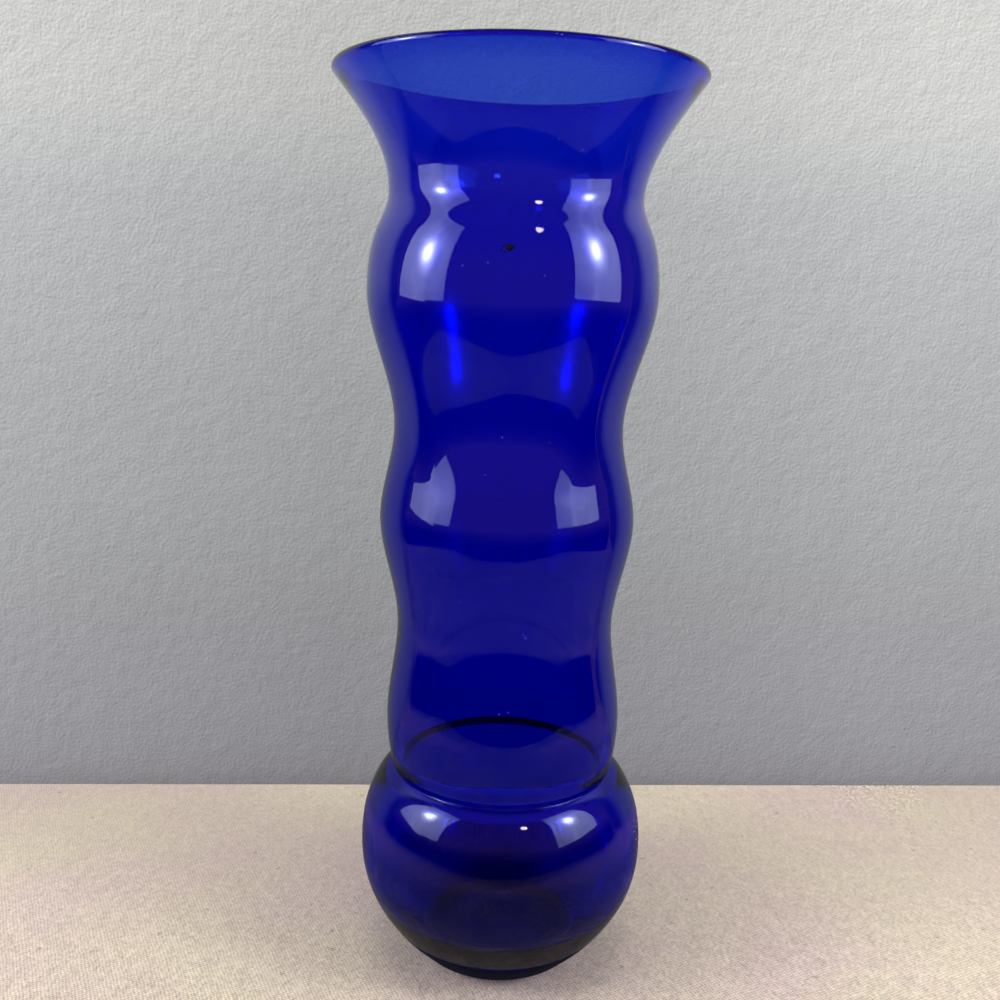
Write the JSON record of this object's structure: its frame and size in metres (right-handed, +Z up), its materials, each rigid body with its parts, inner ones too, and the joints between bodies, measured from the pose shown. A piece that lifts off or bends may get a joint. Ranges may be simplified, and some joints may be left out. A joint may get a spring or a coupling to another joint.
{
  "type": "vase",
  "caption": "Blown glass vase: a wavy tapering column on a round bulb with a flat foot, open at a flared mouth, for cut flowers in water.",
  "frame": {"origin": "centre of the foot, on the surface the vase stands on", "axes": "+Z up the axis of the vase, through the mouth; the vase is round about Z"},
  "size_m": [0.12, 0.12, 0.3053],
  "materials": {
    "cobalt_glass": "gloss, transparent cobalt blue, fire-polished"
  },
  "bodies": {
    "root": {"glass_vessel": "cobalt_glass"}
  },
  "joints": []
}
